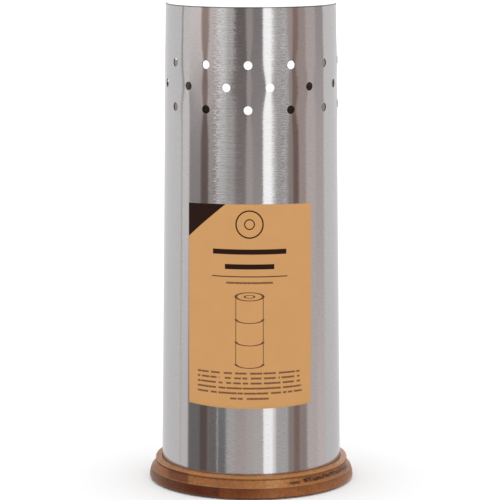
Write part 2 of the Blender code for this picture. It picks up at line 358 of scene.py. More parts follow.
def paint(tree, shader, share, first, second):
    """Gives a material its colour, two colours mixed by a share."""
    plug(tree, shader.inputs["Base Color"], blend_of(tree, share, first, second))


def bump(tree, shader, height, strength, distance):
    """Gives a material a fine relief."""
    relief = node(tree, "Bump", {"Strength": strength, "Distance": distance, "Height": height})
    plug(tree, shader.inputs["Normal"], relief.outputs[0])


def finish_named(name, constants):
    """A material with one shader, and its values that are the same all over it."""
    made = bpy.data.materials.new(name)
    made.use_nodes = True
    shader = made.node_tree.nodes["Principled BSDF"]
    for socket, value in constants.items():
        shader.inputs[socket].default_value = value
    return made, made.node_tree, shader


def dress(piece, *materials):
    """Gives a piece its materials. A sheet has three: for its face, its back and its cut edges."""
    while len(piece.data.materials) < len(materials):
        piece.data.materials.append(None)
    for number, material in enumerate(materials):
        piece.data.materials[number] = material


def keep(piece, replaced):
    """Hides the solid that a finished piece stands for, and hangs the piece on the root body."""
    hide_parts(replaced)
    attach(piece, "root")


# Boards run from the front to the back and show on the ledge, the slope and the wall. Each of these has
# its own table of the boards' colours, with painted light and shade in them: the ledge is painted
# lighter than the slope, as lit from above, and the wall darker, as in shade, and the left ends of the
# ledge and the wall carry a painted sheen. Each board has the share of the base's width at which it
# starts, how softly it starts as such a share, and its colour. A sharp start is a glued joint, a soft
# one a change within the bamboo.
LIT_LEDGE_BOARDS = (
    (0.0, 0.0, (0.4, 0.155, 0.047)),
    (0.105, 0.02, (0.35, 0.13, 0.038)),
    (0.226, 0.005, (0.385, 0.158, 0.046)),
    (0.5, 0.01, (0.4, 0.165, 0.048)),
    (0.66, 0.08, (0.445, 0.178, 0.052)),
    (0.88, 0.08, (0.43, 0.178, 0.058)),
)
SLOPE_BOARDS = (
    (0.0, 0.0, (0.245, 0.08, 0.019)),
    (0.112, 0.025, (0.15, 0.044, 0.012)),
    (0.213, 0.005, (0.3, 0.113, 0.034)),
    (0.5, 0.15, (0.385, 0.155, 0.046)),
    (0.6, 0.05, (0.47, 0.225, 0.085)),
    (0.645, 0.04, (0.385, 0.158, 0.05)),
    (0.72, 0.08, (0.325, 0.126, 0.038)),
    (0.88, 0.06, (0.3, 0.118, 0.038)),
)
SHADED_WALL_BOARDS = (
    (0.0, 0.0, (0.15, 0.05, 0.016)),
    (0.085, 0.05, (0.112, 0.028, 0.007)),
    (0.194, 0.005, (0.095, 0.019, 0.003)),
    (0.364, 0.006, (0.155, 0.037, 0.006)),
    (0.56, 0.14, (0.265, 0.086, 0.022)),
    (0.8, 0.12, (0.258, 0.088, 0.024)),
)
GRAIN_SIZE = 1.1 * MM
GRAIN_LENGTH = 30.0 * MM


def board_colours(tree, share, boards):
    """A colour ramp with a step for each board, as soft as its start."""
    steps = [(0.0, boards[0][2])]
    for (start, soft, colour), board_before in zip(boards[1:], boards):
        steps += [(start - soft / 2, board_before[2]), (start + soft / 2, colour)]
    ramp = node(tree, "ValToRGB", {0: share})
    stops = ramp.color_ramp.elements
    for number, (position, colour) in enumerate(steps):
        stop = stops[number] if number < 2 else stops.new(position)
        stop.position = position
        stop.color = (*colour, 1.0)
    return ramp.outputs[0]


bamboo, tree, shader = finish_named(
    "lacquered_bamboo",
    {"Roughness": 0.38, "Coat Weight": 0.18, "Coat Roughness": 0.2, "Specular IOR Level": 0.15},
)
place = node(tree, "TexCoord").outputs["Object"]
x, y, z = node(tree, "SeparateXYZ", {0: place}).outputs
from_axis = length_of(tree, x, y)
board_share = range_of(tree, x, -foot_radius, foot_radius)

LAYER_EDGE = 0.3 * MM
WALL_SHADE_TONES = (1.25, 0.78)  # painted shade and light: darkest under its upper edge, lighter towards its foot
# The wall's boards are given painted shade by height.
wall_shade_tone = range_of(tree, z, base_bottom + FOOT_ROUND, cove_foot - LAYER_EDGE, *WALL_SHADE_TONES)
board_colour = scaled(tree, board_colours(tree, board_share, SHADED_WALL_BOARDS), wall_shade_tone)
# The slope's and the ledge's tables lie over the wall's. The ledge's table carries painted light and
# sheen.
for boards, layer_foot in ((SLOPE_BOARDS, cove_foot), (LIT_LEDGE_BOARDS, base_top - QUIRK_DEPTH / 2)):
    in_layer = range_of(tree, z, layer_foot - LAYER_EDGE, layer_foot + LAYER_EDGE)
    board_colour = blend_of(tree, in_layer, board_colour, board_colours(tree, board_share, boards))

grain_scale = (1 / GRAIN_SIZE, 1 / GRAIN_LENGTH, 1 / GRAIN_SIZE)
grain_place = node(tree, "Mapping", {"Vector": place, "Scale": grain_scale}).outputs[0]
fibres = node(tree, "TexVoronoi", {"Vector": grain_place, "Scale": 1.6}).outputs["Distance"]
soft_grain = noise(tree, grain_place, 0.6, 4.0, 0.7)
mottle = noise(tree, place, 110.0, 3.0)
dots = range_of(tree, fibres, 0.12, 0.40, 1.0, 0.0, "SMOOTHSTEP")
dark_fibre = product(tree, dots, range_of(tree, mottle, 0.45, 0.6, 0.1, 0.65))
grain_tone = range_of(tree, soft_grain, 0.28, 0.72, 0.7, 1.28)
broad_tone = range_of(tree, mottle, 0.3, 0.7, 0.86, 1.12)
toned = scaled(tree, board_colour, product(tree, grain_tone, broad_tone))
fibred = blend_of(tree, dark_fibre, toned, (0.075, 0.022, 0.007, 1.0))

# A culm's joint shows as a band of short dark fibre bundles on the slope, like a rope. A dark streak
# and three small knots lie beside it.
NODE_HEIGHT = base_top - 4.6 * MM
NODE_HALF = 1.45 * MM
NODE_REACH = (math.radians(33.0), math.radians(78.0))
NODE_ENDS = (0.02, 0.1)  # how softly the band begins and ends, in radians
BUNDLE = (1.9 * MM, 2.6 * MM)  # one bundle's share of the band, along the rim and up
FRAY = 0.35 * MM
STREAK = (math.radians(27.9), 4.5 * MM, base_top - 5.5 * MM, 0.85 * MM)  # middle and half size each way
KNOTS = (  # turn in degrees, depth below the ledge, radius
    (12.2, 3.4 * MM, 0.45 * MM),
    (12.2, 5.6 * MM, 0.5 * MM),
    (14.0, 5.1 * MM, 0.35 * MM),
)
around = sum_of(tree, "ARCTAN2", x, product(tree, y, -1.0))
bundle_up = sum_of(tree, "DIVIDE", z, BUNDLE[1])
bundle_along = sum_of(tree, "MULTIPLY_ADD", around, cove_radius / BUNDLE[0], bundle_up)
bundle_place = node(tree, "CombineXYZ", {0: bundle_along, 1: bundle_up}).outputs[0]
bundle_sockets = {"Vector": bundle_place, "Scale": 1.0, "Randomness": 0.75}
bundles = node(tree, "TexVoronoi", bundle_sockets, voronoi_dimensions="2D").outputs["Distance"]
ragged = sum_of(tree, "MULTIPLY_ADD", range_of(tree, fibres, 0.0, 0.8, -1.0, 1.0), FRAY, z)
band = product(
    tree,
    near(tree, ragged, NODE_HEIGHT, NODE_HALF, 0.7 * MM),
    range_of(tree, bundles, 0.34, 0.68, 1.0, 0.3),
    range_of(tree, around, NODE_REACH[0], NODE_REACH[0] + NODE_ENDS[0]),
    range_of(tree, around, NODE_REACH[1], NODE_REACH[1] + NODE_ENDS[1], 1.0, 0.0),
)
streak = product(
    tree,
    near(tree, around, STREAK[0], STREAK[1] / cove_radius, 0.04),
    near(tree, ragged, STREAK[2], STREAK[3], 0.9 * MM),
    0.8,
)
marks = [band, streak]
for turn, depth, radius in KNOTS:
    knot_radius = ledge_radius + COVE_WIDTH * depth / COVE_DEPTH
    knot = round_axis(knot_radius, math.radians(turn), base_top - depth)
    away = node(tree, "VectorMath", {0: place, 1: knot}, operation="DISTANCE").outputs["Value"]
    marks.append(range_of(tree, away, radius, radius * 2.2, 0.7, 0.0, "SMOOTHSTEP"))
mark = product(tree, strongest(tree, *marks), 0.95)
marked = blend_of(tree, mark, fibred, (0.05, 0.015, 0.004, 1.0))

# Painted shade: a dark band is painted in the scraped corner under the ledge, where the ledge shades it.
painted_quirk_shade = product(
    tree,
    near(tree, z, base_top - QUIRK_DEPTH * 0.9, 0.55 * MM, 0.5 * MM),
    near(tree, from_axis, ledge_radius - 0.1 * MM, 0.8 * MM, 0.5 * MM),
    0.45,
)
# The painted shade under the ledge darkens the wood here.
with_quirk_shade = blend_of(tree, painted_quirk_shade, marked, (0.085, 0.026, 0.009, 1.0))

# Painted highlights: both sharp edges, the ledge's nose and the lip above the wall, are painted in a
# lighter wood colour, as where they catch the light.
nose_highlight = product(
    tree,
    near(tree, z, base_top - 1.0 * MM, 0.5 * MM, 0.5 * MM),
    range_of(tree, from_axis, ledge_radius - 0.9 * MM, ledge_radius - 0.5 * MM),
)
edge_highlights = strongest(tree, near(tree, z, cove_foot, 0.25 * MM, 0.3 * MM), nose_highlight)
# The painted edge highlights are mixed in here.
paint(tree, shader, product(tree, edge_highlights, 0.4), with_quirk_shade, (0.47, 0.215, 0.075, 1.0))
bump(tree, shader, soft_grain, 0.4, 0.06 * MM)
dress(base, bamboo)
keep(base, "bamboo_base")


# Anti-slip pads. Four round rubber pads, glued into the recesses, with softened edges and a shallow
# dish in the face that meets the floor.
PAD_THICKNESS = 2.0 * MM
PAD_EDGE = 0.4 * MM
PAD_DISH = 0.25 * MM

rubber, tree, shader = finish_named("pad_rubber", {"Roughness": 0.75})
speck = noise(tree, node(tree, "TexCoord").outputs["Object"], 2500.0, 2.0)
paint(tree, shader, speck, (0.018, 0.018, 0.019, 1.0), (0.045, 0.045, 0.046, 1.0))
bump(tree, shader, speck, 0.5, 0.03 * MM)


def keep_copies(first, name, replaced, turns):
    """Keeps copies of a piece, turned round the axis, each for its own solid, but not the piece."""
    for ending, turn in turns.items():
        keep(turned_copy(first, f"{name}_{ending}", turn), f"{replaced}_{ending}")
    bpy.data.objects.remove(first, do_unlink=True)


pad_profile = [(PAD_RADIUS * 0.3, PAD_DISH), (PAD_RADIUS * 0.75, PAD_DISH * 0.6)]
pad_profile += rounding((PAD_RADIUS - PAD_EDGE, PAD_EDGE), PAD_EDGE, -90, 0, 4)
pad_profile += rounding((PAD_RADIUS - PAD_EDGE, PAD_THICKNESS - PAD_EDGE), PAD_EDGE, 0, 90, 4)
first_pad = turned("rubber_pad", PAD_STEPS, pad_profile)
place_at(first_pad, (PAD_CIRCLE, 0.0, 0.0))
smooth(first_pad)
dress(first_pad, rubber)
keep_copies(first_pad, "rubber_pad", "anti_slip_pad", PAD_TURNS)


# Steel tube. One sheet of stainless steel, punched and cut flat with its mouth, finger slot and
# staggered holes, then rolled into a tapered tube. It is brushed round the outside, and the sheet
# stands slightly proud at each hole, where it bends more easily in the rolls.
TUBE_RIM_RADIUS = 61.0 * MM
SLOT_BOTTOM_WIDTH = 27.4 * MM  # measured round the wall, as all widths of the opening are
SLOT_TOP_WIDTH = 42.6 * MM
MOUTH_DEPTH = 97.0 * MM
MOUTH_FLARE_POWER = 1.85
MOUTH_TIP_ROUND = 8.0 * MM
HOLE_RADIUS = 3.0 * MM
HOLE_PITCH = 30.9 * MM
ROW_SPACING = 15.6 * MM
TOP_ROW_DROP = 40.2 * MM
HOLES_IN_ROWS = (9, 8, 9)
HOLE_STEPS = 48
HOLE_APRON = 6.3 * MM  # faces this near a hole's middle give way to the rings round it
HOLE_RINGS = (1.2 * MM, 0.6 * MM, 0.3 * MM, 0.0)  # how far outside the hole each ring lies
SHEET_EDGE = 0.15 * MM  # deburred edges
EDGE_STRIP = 0.5 * MM  # narrow row of faces along each edge, which keeps the wall's shading even
SHEET_CREASE = 50.0  # degrees
WALL_COLUMNS = 240
ROW_HEIGHT = 4.2 * MM
HOLE_ROW_HEIGHT = 1.4 * MM  # finer rows where the holes are
TIP_ROWS = 8
SWELL = 0.22 * MM
SWELL_WIDTH = 5.0 * MM
SWELL_HEIGHT = 12.0 * MM

tube_low, tube_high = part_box("steel_tube")
tube_foot = tube_low.z
rim = tube_high.z
tube_height = rim - tube_foot


def tube_radius(height):
    share = (height - tube_foot) / tube_height
    return TUBE_FOOT_RADIUS + (TUBE_RIM_RADIUS - TUBE_FOOT_RADIUS) * share


mouth_foot = rim - MOUTH_DEPTH
mouth_flare = TUBE_RIM_RADIUS * math.pi - SLOT_TOP_WIDTH
tip_slope = math.atan2(MOUTH_DEPTH, mouth_flare / 2 * MOUTH_FLARE_POWER)
tip_drop = MOUTH_TIP_ROUND * (1 - math.cos(tip_slope))
tip_centre = TUBE_RIM_RADIUS * math.pi / 2 + MOUTH_TIP_ROUND * math.tan(tip_slope / 2)


def opening_half_width(height):
    """Half of the front opening at a height, measured round the wall."""
    drop = max(rim - height, 0.0)
    if drop < tip_drop:
        return tip_centre - math.sqrt(drop * (2 * MOUTH_TIP_ROUND - drop))
    slot_share = min((height - tube_foot) / (mouth_foot - tube_foot), 1.0)
    slot = SLOT_BOTTOM_WIDTH + (SLOT_TOP_WIDTH - SLOT_BOTTOM_WIDTH) * slot_share
    flare_share = max((height - mouth_foot) / MOUTH_DEPTH, 0.0)
    return (slot + mouth_flare * flare_share**MOUTH_FLARE_POWER) / 2


cone_radius = tube_radius(0.0)  # the tapered wall's radius if it went on down to the floor
UPRIGHT = (math.pi / 2, 0.0, 0.0)  # turns a flat sheet to face -Y


def spread(height):
    """How much wider the flat sheet is drawn at a height, because the taper draws it in again."""
    return cone_radius / tube_radius(height)


def pick_points(piece, wanted):
    """Selects the points whose place is wanted, and the edges and faces between them."""
    edit = bmesh.from_edit_mesh(piece.data)
    for vert in edit.verts:
        vert.select_set(wanted(vert.co))
    edit.select_flush(True)
    edit.select_flush(False)
    bmesh.update_edit_mesh(piece.data)


def flat_sheet(name, columns, heights, half_width_at, edge_strip=0.0, depth=0.0):
    """A flat sheet that stands in the XZ plane and faces -Y, drawn up row by row from its foot."""
    foot, top = heights[:2]
    half_width = half_width_at(foot) - edge_strip
    pick_nothing()
    middle = (0.0, depth, (foot + top) / 2)
    bpy.ops.mesh.primitive_grid_add(
        x_subdivisions=columns, y_subdivisions=1, size=2.0, location=middle, rotation=UPRIGHT
    )
    sheet = named(name)
    sheet.scale = (half_width, (top - foot) / 2, 1.0)
    settle()
    open_edit()
    pick_points(sheet, lambda place: place.z > (foot + top) / 2)
    for height, below in zip(heights[1:], heights):
        if below > foot:
            draw_out((0.0, 0.0, height - below))
        grow = (half_width_at(height) - edge_strip) / half_width
        resize((grow, 1.0, 1.0), (0.0, depth, height))
        half_width = half_width_at(height) - edge_strip
    near_edge = edge_strip + 0.01 * MM
    for side in (-1, 1) if edge_strip else ():
        pick_points(sheet, lambda place: side * place.x > half_width_at(place.z) - near_edge)
        draw_out((side * edge_strip, 0.0, 0.0))
    bpy.ops.object.mode_set(mode="OBJECT")
    return sheet


def punch(piece, places, radius, apron, rings):
    """Opens round holes in a flat sheet. Rings take the place of the faces near each."""
    work_on(piece)
    open_edit("FACE")
    pick_all("DESELECT")
    edit = bmesh.from_edit_mesh(piece.data)
    for face in edit.faces:
        middle = face.calc_center_median()
        face.select_set(any((middle - place).length < apron for place in places))
    bmesh.update_edit_mesh(piece.data)
    bpy.ops.mesh.delete(type="FACE")
    bpy.ops.mesh.select_mode(type="EDGE")
    for place in places:
        pick_all("DESELECT")
        bpy.ops.mesh.primitive_circle_add(
            vertices=HOLE_STEPS, radius=radius + rings[0], location=place, rotation=UPRIGHT
        )
        resize((spread(place.z), 1.0, 1.0), place)
        for ring, next_ring in zip(rings, rings[1:]):
            bpy.ops.mesh.extrude_edges_move()
            shrink = (radius + next_ring) / (radius + ring)
            resize((shrink, 1.0, shrink), place)
        pick_all("DESELECT")
        edit = bmesh.from_edit_mesh(piece.data)
        for edge in edit.edges:
            away = ((edge.verts[0].co + edge.verts[1].co) / 2 - place).length
            if edge.is_boundary and radius + rings[1] < away < apron * 1.5:
                edge.select_set(True)
        bmesh.update_edit_mesh(piece.data)
        bpy.ops.mesh.bridge_edge_loops()
    pick_all()
    bpy.ops.mesh.normals_make_consistent(inside=False)
    edit = bmesh.from_edit_mesh(piece.data)
    if sum(face.normal.y for face in edit.faces) > 0:
        bpy.ops.mesh.flip_normals()
    bpy.ops.object.mode_set(mode="OBJECT")


def soften(piece, width, segments=2, material=-1):
    """Rounds a piece's sharp edges."""
    sharp = {"limit_method": "ANGLE", "angle_limit": math.radians(60.0)}
    work_with(piece, "BEVEL", width=width, segments=segments, material=material, **sharp)


def sheet_metal(piece, thickness, edge, segments=2):
    """Gives a flat sheet its thickness behind its face, deburred edges and a map of its flat face."""
    dress(piece, None, None, None)
    settings = {"thickness": thickness, "offset": -1.0}
    work_with(piece, "SOLIDIFY", material_offset=1, material_offset_rim=2, **settings)
    soften(piece, edge, segments, material=2)
    flat = piece.data.uv_layers.active
    flat.name = "sheet"
    for loop in piece.data.loops:
        place = piece.data.vertices[loop.vertex_index].co
        flat.data[loop.index].uv = (place.x, place.z)


def press(piece, share_at, direction, distance):
    """Presses a sheet along X, Y or Z by a distance, as far as weights painted on its points say."""
    weights = piece.vertex_groups.new(name="press")
    for vert in piece.data.vertices:
        share = share_at(vert.co)
        if share > 0.0:
            weights.add([vert.index], share, "REPLACE")
    settings = {"direction": direction, "strength": distance, "mid_level": 0.0}
    work_with(piece, "DISPLACE", vertex_group=weights.name, **settings)
    piece.vertex_groups.clear()


def roll_up(piece):
    """Bends a flat sheet round the axis and tapers it. Its depth in Y becomes depth into the wall."""
    sides = [vert.co.x for vert in piece.data.vertices]
    levels = [vert.co.z for vert in piece.data.vertices]
    turn = (max(sides) - min(sides)) / cone_radius
    work_with(piece, "SIMPLE_DEFORM", deform_method="BEND", deform_axis="Z", angle=turn)
    place_at(piece, (0.0, -cone_radius, 0.0))
    slope = (TUBE_RIM_RADIUS - TUBE_FOOT_RADIUS) / tube_height
    taper = slope * (max(levels) - min(levels)) / cone_radius
    work_with(piece, "SIMPLE_DEFORM", deform_method="TAPER", deform_axis="Z", factor=taper)


def evenly(low, high, rows):
    """Heights from low to high with so many rows between them."""
    return [low + (high - low) * row / rows for row in range(rows + 1)]


hole_places = []
for row, count in enumerate(HOLES_IN_ROWS):
    height = rim - TOP_ROW_DROP - row * ROW_SPACING
    for number in range(count):
        across = (number - (count - 1) / 2) * HOLE_PITCH
        hole_places.append(Vector((across * spread(height), 0.0, height)))

wall_heights = [tube_foot, tube_foot + EDGE_STRIP]
holes_low = hole_places[-1].z - HOLE_APRON - ROW_HEIGHT
holes_high = hole_places[0].z + HOLE_APRON + ROW_HEIGHT
for stop, row_height in (
    (holes_low, ROW_HEIGHT),
    (holes_high, HOLE_ROW_HEIGHT),
    (rim - tip_drop, ROW_HEIGHT),
):
    start = wall_heights[-1]
    wall_heights += evenly(start, stop, round((stop - start) / row_height))[1:]
for row in range(1, TIP_ROWS + 1):
    wall_heights.append(rim - tip_drop * (1 - row / TIP_ROWS) ** 2)


def near_holes(place):
    """How near to the holes a place is: 1 at their edges, 0 farther away."""
    nearness = 0.0
    for hole in hole_places:
        aside = (place.x - hole.x) / SWELL_WIDTH
        up = (place.z - hole.z) / SWELL_HEIGHT
        if abs(aside) < 3 and abs(up) < 3:
            nearness += math.exp(-(aside**2) - up**2)
    return min(nearness, 1.0)


tube = flat_sheet(
    "brushed_steel_wall",
    WALL_COLUMNS,
    wall_heights,
    lambda height: (math.pi * tube_radius(height) - opening_half_width(height)) * spread(height),
    EDGE_STRIP,
)
punch(tube, hole_places, HOLE_RADIUS, HOLE_APRON, HOLE_RINGS)
sheet_metal(tube, SHEET, SHEET_EDGE)
press(tube, near_holes, "Y", -SWELL)
roll_up(tube)
smooth(tube, SHEET_CREASE)

# Brushing. Short scratches that run round the tube. Length and Width are the size of one scratch.
brushing = bpy.data.node_groups.new("brushing", "ShaderNodeTree")
for name, way, kind in (
    ("Sheet", "INPUT", "NodeSocketVector"),
    ("Length", "INPUT", "NodeSocketFloat"),
    ("Width", "INPUT", "NodeSocketFloat"),
    ("Scratches", "OUTPUT", "NodeSocketFloat"),
):
    brushing.interface.new_socket(name, in_out=way, socket_type=kind)
given = brushing.nodes.new("NodeGroupInput").outputs
put_out = brushing.nodes.new("NodeGroupOutput")
scratch_size = node(brushing, "CombineXYZ", {0: given["Length"], 1: given["Width"], 2: given["Width"]})
scratch_sockets = {0: given["Sheet"], 1: scratch_size.outputs[0]}
scratch_place = node(brushing, "VectorMath", scratch_sockets, operation="DIVIDE").outputs[0]
scratch_noise = noise(brushing, scratch_place, 1.0, 3.0, 0.65, noise_dimensions="2D")
plug(brushing, put_out.inputs["Scratches"], scratch_noise)


def scratches(tree, sheet, length, width):
    """The scratches of the brushing, each about so long and wide."""
    sockets = {"Sheet": sheet, "Length": length, "Width": width}
    return node(tree, "Group", sockets, node_tree=brushing).outputs["Scratches"]


RIM_SCUFF = 0.9 * MM  # dull line where the rim was deburred
BRUSH_GLINT_ZONES = ((-16.0 * MM, 11.0 * MM), (24.0 * MM, 7.5 * MM))  # centre and half width of a zone of painted glints, where the scratches are painted with more contrast
DRAG_LOW = rim - 270.0 * MM  # the brush dragged harder the higher it ran, between these
DRAG_HIGH = rim - 150.0 * MM
TONES = (0.71, 1.23, 0.35)  # of a dark scratch, a light scratch and the scuffed rim


def brushed_steel(name, colour, roughness, anisotropy, tilt):
    """Stainless steel brushed round the tube, on the map of the flat sheet."""
    constants = {"Metallic": 1.0, "Anisotropic": anisotropy, "Anisotropic Rotation": 0.25}
    made, tree, shader = finish_named(name, constants)
    sheet = node(tree, "UVMap", uv_map="sheet").outputs[0]
    long_marks = scratches(tree, sheet, 34.0 * MM, 0.22 * MM)
    short_marks = scratches(tree, sheet, 4.0 * MM, 0.6 * MM)
    marks = sum_of(tree, "MULTIPLY_ADD", short_marks, 0.6, product(tree, long_marks, 0.4))
    along, up, _ = node(tree, "SeparateXYZ", {0: sheet}).outputs
    zones = [near(tree, along, centre, half, 5.0 * MM) for centre, half in BRUSH_GLINT_ZONES]
    harder = range_of(tree, up, DRAG_LOW, DRAG_HIGH, 0.15, 0.9)
    # Partly real brushing, partly painted glints: in the zones, and higher up, the scratches' colour
    # swings harder and they lean more.
    glint_and_drag = sum_of(tree, "MULTIPLY_ADD", strongest(tree, *zones), harder, 0.1)
    contrast = sum_of(tree, "MULTIPLY_ADD", glint_and_drag, 1.15, 0.15)
    swing = product(tree, sum_of(tree, "SUBTRACT", marks, 0.5), contrast)
    dark, light, dull = [(*(part * tone for part in colour), 1.0) for tone in TONES]
    brushed = blend_of(tree, range_of(tree, swing, -0.18, 0.18), dark, light)
    scuff = range_of(tree, up, rim - RIM_SCUFF, rim - RIM_SCUFF / 2)
    paint(tree, shader, scuff, brushed, dull)
    rough = range_of(tree, long_marks, 0.3, 0.7, roughness * 0.9, roughness * 1.1)
    plug(tree, shader.inputs["Roughness"], rough)
    tangent = node(tree, "Tangent", direction_type="RADIAL", axis="Z").outputs[0]
    lean = product(tree, range_of(tree, short_marks, 0.2, 0.8, -tilt, tilt), glint_and_drag)
    face = node(tree, "NewGeometry").outputs["Normal"]
    leaned = node(tree, "VectorMath", {0: face, 1: scaled(tree, tangent, lean)}, operation="ADD")
    straight = node(tree, "VectorMath", {0: leaned.outputs[0]}, operation="NORMALIZE")
    plug(tree, shader.inputs["Normal"], straight.outputs[0])
    plug(tree, shader.inputs["Tangent"], tangent)
    return made


outer_steel = brushed_steel("brushed_stainless_steel", (0.615, 0.60, 0.598), 0.13, 0.85, 0.065)
# Painted shade: the inside of the sheet is the same steel, painted darker and browner because it lies in
# shade.
shaded_inner_steel = brushed_steel("shaded_inner_stainless_steel", (0.36, 0.305, 0.275), 0.28, 0.6, 0.03)
# Painted shade: the sheet's cut edges are painted a dark brown, far darker than steel, as shaded edges.
shaded_edge_look = {"Metallic": 1.0, "Roughness": 0.5, "Base Color": (0.16, 0.13, 0.12, 1.0)}
shaded_cut_steel = finish_named("shaded_sheared_steel_edge", shaded_edge_look)[0]
dress(tube, outer_steel, shaded_inner_steel, shaded_cut_steel)
keep(tube, "steel_tube")


# Joining strip. A short curved strip of the same sheet, spot-welded behind both edges of the finger
# slot at its foot, so that the tube can't spring open.
STRIP_LAP = 10.0 * MM
WELD_RADIUS = 1.8 * MM
WELD_DEPTH = 0.12 * MM
WELD_RISE = 14.0 * MM  # from one weld up to the next
WELDS_A_SIDE = 3
STRIP_ROWS = 40
STRIP_COLUMNS = 58

strip_low, strip_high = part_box("slot_joining_strip")
strip_half_width = opening_half_width(strip_high.z) + STRIP_LAP
strip = flat_sheet(
    "joining_strip",
    STRIP_COLUMNS,
    evenly(strip_low.z, strip_high.z, STRIP_ROWS),
    lambda height: strip_half_width * spread(height),
    EDGE_STRIP,
    SHEET + FIT_GAP,
)
sheet_metal(strip, SHEET, SHEET_EDGE)


def near_welds(place):
    """1 in the middle of a weld on the strip's inner face, 0 away from the welds."""
    nearness = 0.0
    for side in (-1, 1):
        for number in range(WELDS_A_SIDE):
            weld = (side * (strip_half_width - STRIP_LAP / 2), strip_low.z + WELD_RISE * (number + 0.55))
            away = math.dist((place.x, place.z), weld)
            nearness += max(0.0, 1 - (away / WELD_RADIUS) ** 4)
    return nearness if place.y > FIT_GAP + SHEET * 1.5 else 0.0


press(strip, near_welds, "Y", -WELD_DEPTH)
roll_up(strip)
place_at(strip, turn=math.pi)
smooth(strip, SHEET_CREASE)
dress(strip, outer_steel, shaded_inner_steel, shaded_cut_steel)
keep(strip, "slot_joining_strip")


# Fixing brackets. Three small L brackets of zinc-plated steel, bent to the tube's curve. Their
# upright legs are welded to the wall and their feet are screwed to the bamboo.
BRACKET_THICKNESS = 1.2 * MM
BRACKET_WIDTH = 15.0 * MM
BRACKET_LEG = 17.0 * MM
BRACKET_FOOT = 14.5 * MM
BRACKET_BEND = 2.0 * MM
BRACKET_HOLE_RADIUS = 2.1 * MM
BRACKET_EDGE = 0.2 * MM
BRACKET_TURNS = {"back": 0.0, "right": math.radians(120.0), "left": math.radians(-120.0)}
BEND_STEPS = 8
CURVE_STEPS = 12

bracket_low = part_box("fixing_bracket_back")[0].z
bracket_back = tube_radius(bracket_low + BRACKET_LEG) - SHEET - FIT_GAP
screw_radius = bracket_back - (BRACKET_FOOT + BRACKET_THICKNESS) / 2

zinc, tree, shader = finish_named("zinc_plate", {"Metallic": 1.0})
place = node(tree, "TexCoord").outputs["Object"]
spangle = node(tree, "TexVoronoi", {"Vector": place, "Scale": 420.0}).outputs["Distance"]
paint(tree, shader, spangle, (0.7, 0.72, 0.75, 1.0), (0.52, 0.54, 0.56, 1.0))
cloud = noise(tree, place, 900.0, 3.0)
plug(tree, shader.inputs["Roughness"], range_of(tree, cloud, 0.3, 0.7, 0.28, 0.46))
bump(tree, shader, cloud, 0.3, 0.02 * MM)

leg_place = (0.0, BRACKET_THICKNESS / 2 - bracket_back, bracket_low + (BRACKET_LEG + BRACKET_BEND) / 2)
bend_place = (0.0, BRACKET_BEND - bracket_back, bracket_low + BRACKET_BEND)
pick_nothing()
bpy.ops.mesh.primitive_plane_add(size=1.0, location=leg_place, rotation=(0.0, math.pi / 2, 0.0))
first_bracket = named("bracket")
first_bracket.scale = (BRACKET_LEG - BRACKET_BEND, BRACKET_THICKNESS, 1.0)
settle()
open_edit()
pick_points(first_bracket, lambda place: place.z < leg_place[2])
bpy.ops.mesh.spin(steps=BEND_STEPS, angle=-math.pi / 2, center=bend_place, axis=(1.0, 0.0, 0.0))
draw_out((0.0, BRACKET_FOOT - BRACKET_BEND, 0.0))
pick_all()
bracket_angle = BRACKET_WIDTH / bracket_back
bpy.ops.mesh.spin(steps=CURVE_STEPS, angle=bracket_angle, center=(0.0, 0.0, 0.0), axis=(0.0, 0.0, 1.0))
pick_all()
bpy.ops.mesh.remove_doubles(threshold=0.001 * MM)
close_edit()
place_at(first_bracket, turn=bracket_angle / 2)
bracket_high = bracket_low + BRACKET_THICKNESS
screw_place = round_axis(screw_radius, 0.0, 0.0)
drill(first_bracket, screw_place, BRACKET_HOLE_RADIUS, bracket_low - OVERRUN, bracket_high + OVERRUN)
soften(first_bracket, BRACKET_EDGE)
smooth(first_bracket, SHEET_CREASE)
dress(first_bracket, zinc)
keep_copies(first_bracket, "bracket", "fixing_bracket", BRACKET_TURNS)


# Bracket screws. Zinc-plated pan-head wood screws with a cross recess, one through the foot of each
# bracket into a pilot hole that is drilled in the bamboo first.
SCREW_HEAD_RADIUS = 3.5 * MM
SCREW_HEAD_HEIGHT = 2.2 * MM
SCREW_HEAD_EDGE = 0.7 * MM
SCREW_POINT = 3.0 * MM
SCREW_CREST_RADIUS = 1.7 * MM
SCREW_CORE_RADIUS = 1.2 * MM
SCREW_NECK = 0.8 * MM
THREAD_PITCH = 1.5 * MM
CROSS_LENGTH = 3.8 * MM
CROSS_WIDTH = 0.95 * MM
CROSS_DEPTH = 1.3 * MM
CROSS_NARROWS = 0.75  # how the cross narrows towards its floor
CROSS_TURN = 0.4  # the angle, in radians, at which the screws were left
PILOT_COVER = 4.1 * MM  # bamboo left under a pilot hole
SCREW_STEPS = 32
THREAD_STEPS = 24
DOME_STEPS = 8
SCREW_CREASE = 40.0  # degrees
HEAD_CORNER = 0.15 * MM

pilot_low = base_bottom + PILOT_COVER
for turn in BRACKET_TURNS.values():
    middle = round_axis(screw_radius, turn, 0.0)
    drill(base, middle, SCREW_CREST_RADIUS + FIT_GAP, pilot_low, base_top + OVERRUN)
smooth(base, BASE_CREASE)

